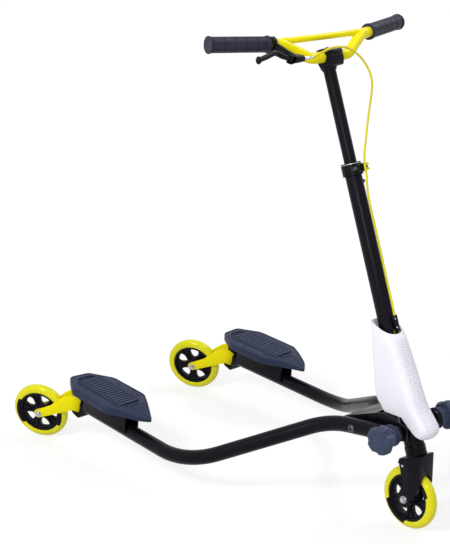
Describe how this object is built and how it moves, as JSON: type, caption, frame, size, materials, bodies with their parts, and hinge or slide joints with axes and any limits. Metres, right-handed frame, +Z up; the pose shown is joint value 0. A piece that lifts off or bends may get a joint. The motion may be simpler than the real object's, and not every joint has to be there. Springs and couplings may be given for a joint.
{
  "type": "three-wheeled drift scooter",
  "caption": "Folding three-wheeled stand-on scooter: one braked front wheel, two castering rear wheels under foot decks on hinged arms, height-adjusting handlebar.",
  "frame": {"origin": "on the ground under the middle of the scooter's box, with the wheels as they stand at rest", "axes": "+X forward, +Y to the rider's left, +Z up"},
  "size_m": [1.1014, 0.6704, 1.0797],
  "materials": {
    "black_paint": "semi-gloss black paint",
    "black_plastic": "fine moulded grain",
    "deck_plastic": "dark navy, ribbed",
    "knob_plastic": "dark navy, satin",
    "yellow_paint": "gloss yellow paint",
    "yellow_tyre": "cast urethane",
    "white_plastic": "satin white moulding",
    "steel": "zinc plated",
    "grip_rubber": "soft matt rubber",
    "cable_sheath": "yellow outer sheath"
  },
  "bodies": {
    "chassis": {"head_tube": "black_paint", "head_bracket": "black_paint", "shroud": "white_plastic", "upper_headset_race": "steel", "pivot_bolt_left": "steel", "pivot_bolt_right": "steel"},
    "steering": {"front_fork": "black_paint", "lower_headset_race": "black_paint", "lower_column": "black_paint", "clamp_collar": "black_paint", "clamp_bolt": "steel", "cable_guide": "black_plastic", "brake_pivot_bolt": "steel", "front_axle_bolt": "steel", "front_axle_nut": "steel", "brake_cable": "cable_sheath"},
    "front_wheel": {"front_tyre": "yellow_tyre", "front_hub": "black_plastic", "front_bearing_left": "steel", "front_bearing_right": "steel"},
    "brake_shoe": {"brake_arm": "black_paint", "brake_pad": "grip_rubber"},
    "clamp_handle": {"clamp_lever": "yellow_paint"},
    "height_button": {"snap_button": "yellow_paint"},
    "bars": {"upper_column": "black_paint", "handlebar": "yellow_paint", "crossbar": "yellow_paint", "stem_cap": "black_paint", "stem_saddle": "black_paint", "grip_left": "grip_rubber", "grip_right": "grip_rubber", "lever_body": "black_plastic", "barrel_adjuster": "steel"},
    "hand_brake": {"brake_lever": "black_plastic"},
    "swing_arm_left": {"arm_left": "black_paint", "arm_end_plate_left": "black_paint", "deck_left": "deck_plastic", "deck_bracket_left": "black_paint", "swivel_bolt_left": "steel"},
    "arm_knob_left": {"knob_left": "knob_plastic"},
    "caster_left": {"rear_fork_left": "yellow_paint", "rear_left_axle_bolt": "steel", "rear_left_axle_nut": "steel"},
    "rear_wheel_left": {"rear_left_tyre": "yellow_tyre", "rear_left_hub": "black_plastic", "rear_left_bearing_left": "steel", "rear_left_bearing_right": "steel"},
    "swing_arm_right": {"arm_right": "black_paint", "arm_end_plate_right": "black_paint", "deck_right": "deck_plastic", "deck_bracket_right": "black_paint", "swivel_bolt_right": "steel"},
    "arm_knob_right": {"knob_right": "knob_plastic"},
    "caster_right": {"rear_fork_right": "yellow_paint", "rear_right_axle_bolt": "steel", "rear_right_axle_nut": "steel"},
    "rear_wheel_right": {"rear_right_tyre": "yellow_tyre", "rear_right_hub": "black_plastic", "rear_right_bearing_left": "steel", "rear_right_bearing_right": "steel"}
  },
  "joints": [
    {"name": "steering_turn", "type": "hinge", "parent": "chassis", "child": "steering", "pos_m": [0.49139, 0.01507, 0.1768], "axis": [-0.3397, 0, 0.9405], "range_deg": [-60, 60]},
    {"name": "front_wheel_spin", "type": "hinge", "parent": "steering", "child": "front_wheel", "pos_m": [0.47816, 0.01507, 0.0725], "axis": [0, 1, 0], "continuous": true},
    {"name": "bar_height", "type": "slide", "parent": "steering", "child": "bars", "axis": [-0.3397, 0, 0.9405], "range_m": [-0.15, 0], "deforming": ["brake_cable"]},
    {"name": "clamp_handle_open", "type": "hinge", "parent": "steering", "child": "clamp_handle", "pos_m": [0.29654, 0.03537, 0.78689], "axis": [0.3397, 0, -0.9405], "range_deg": [0, 110]},
    {"name": "height_button_press", "type": "slide", "parent": "steering", "child": "height_button", "axis": [-0.4703, -0.866, -0.1699], "range_m": [0, 0.0025], "stiffness_N_per_m": 900, "springref_m": -0.002},
    {"name": "hand_brake_squeeze", "type": "hinge", "parent": "bars", "child": "hand_brake", "pos_m": [0.21435, -0.11993, 1.0262], "axis": [-0.2846, -0.0832, -0.955], "range_deg": [0, 25], "stiffness_Nm_per_rad": 1.2, "springref_deg": -17.19},
    {"name": "brake_shoe_press", "type": "hinge", "parent": "steering", "child": "brake_shoe", "pos_m": [0.47016, 0.01507, 0.1506], "axis": [0, -1, 0], "range_deg": [0, 3.1]},
    {"name": "swing_arm_left_fold", "type": "hinge", "parent": "chassis", "child": "swing_arm_left", "pos_m": [0.37916, 0.09107, 0.2305], "axis": [0.0872, 0.9962, 0], "range_deg": [0, 72]},
    {"name": "arm_knob_left_turn", "type": "hinge", "parent": "chassis", "child": "arm_knob_left", "pos_m": [0.47819, 0.0824, 0.2399], "axis": [0.0872, 0.9962, 0], "continuous": true},
    {"name": "caster_left_swivel", "type": "hinge", "parent": "swing_arm_left", "child": "caster_left", "pos_m": [-0.38184, 0.27307, 0.11], "axis": [0.3206, 0, 0.9472], "range_deg": [-75, 15]},
    {"name": "rear_wheel_left_spin", "type": "hinge", "parent": "caster_left", "child": "rear_wheel_left", "pos_m": [-0.48528, 0.22358, 0.07173], "axis": [-0.4736, 0.866, 0.1603], "continuous": true},
    {"name": "swing_arm_right_fold", "type": "hinge", "parent": "chassis", "child": "swing_arm_right", "pos_m": [0.37916, -0.06093, 0.2305], "axis": [-0.0872, 0.9962, 0], "range_deg": [0, 72]},
    {"name": "arm_knob_right_turn", "type": "hinge", "parent": "chassis", "child": "arm_knob_right", "pos_m": [0.47819, -0.05227, 0.2399], "axis": [-0.0872, 0.9962, 0], "continuous": true},
    {"name": "caster_right_swivel", "type": "hinge", "parent": "swing_arm_right", "child": "caster_right", "pos_m": [-0.38184, -0.24293, 0.11], "axis": [0.3206, 0, 0.9472], "range_deg": [-75, 15]},
    {"name": "rear_wheel_right_spin", "type": "hinge", "parent": "caster_right", "child": "rear_wheel_right", "pos_m": [-0.48528, -0.29242, 0.07173], "axis": [-0.4736, 0.866, 0.1603], "continuous": true}
  ],
  "couplings": [
    {"joint": "brake_shoe_press", "follows": "hand_brake_squeeze", "ratio": 0.12}
  ]
}
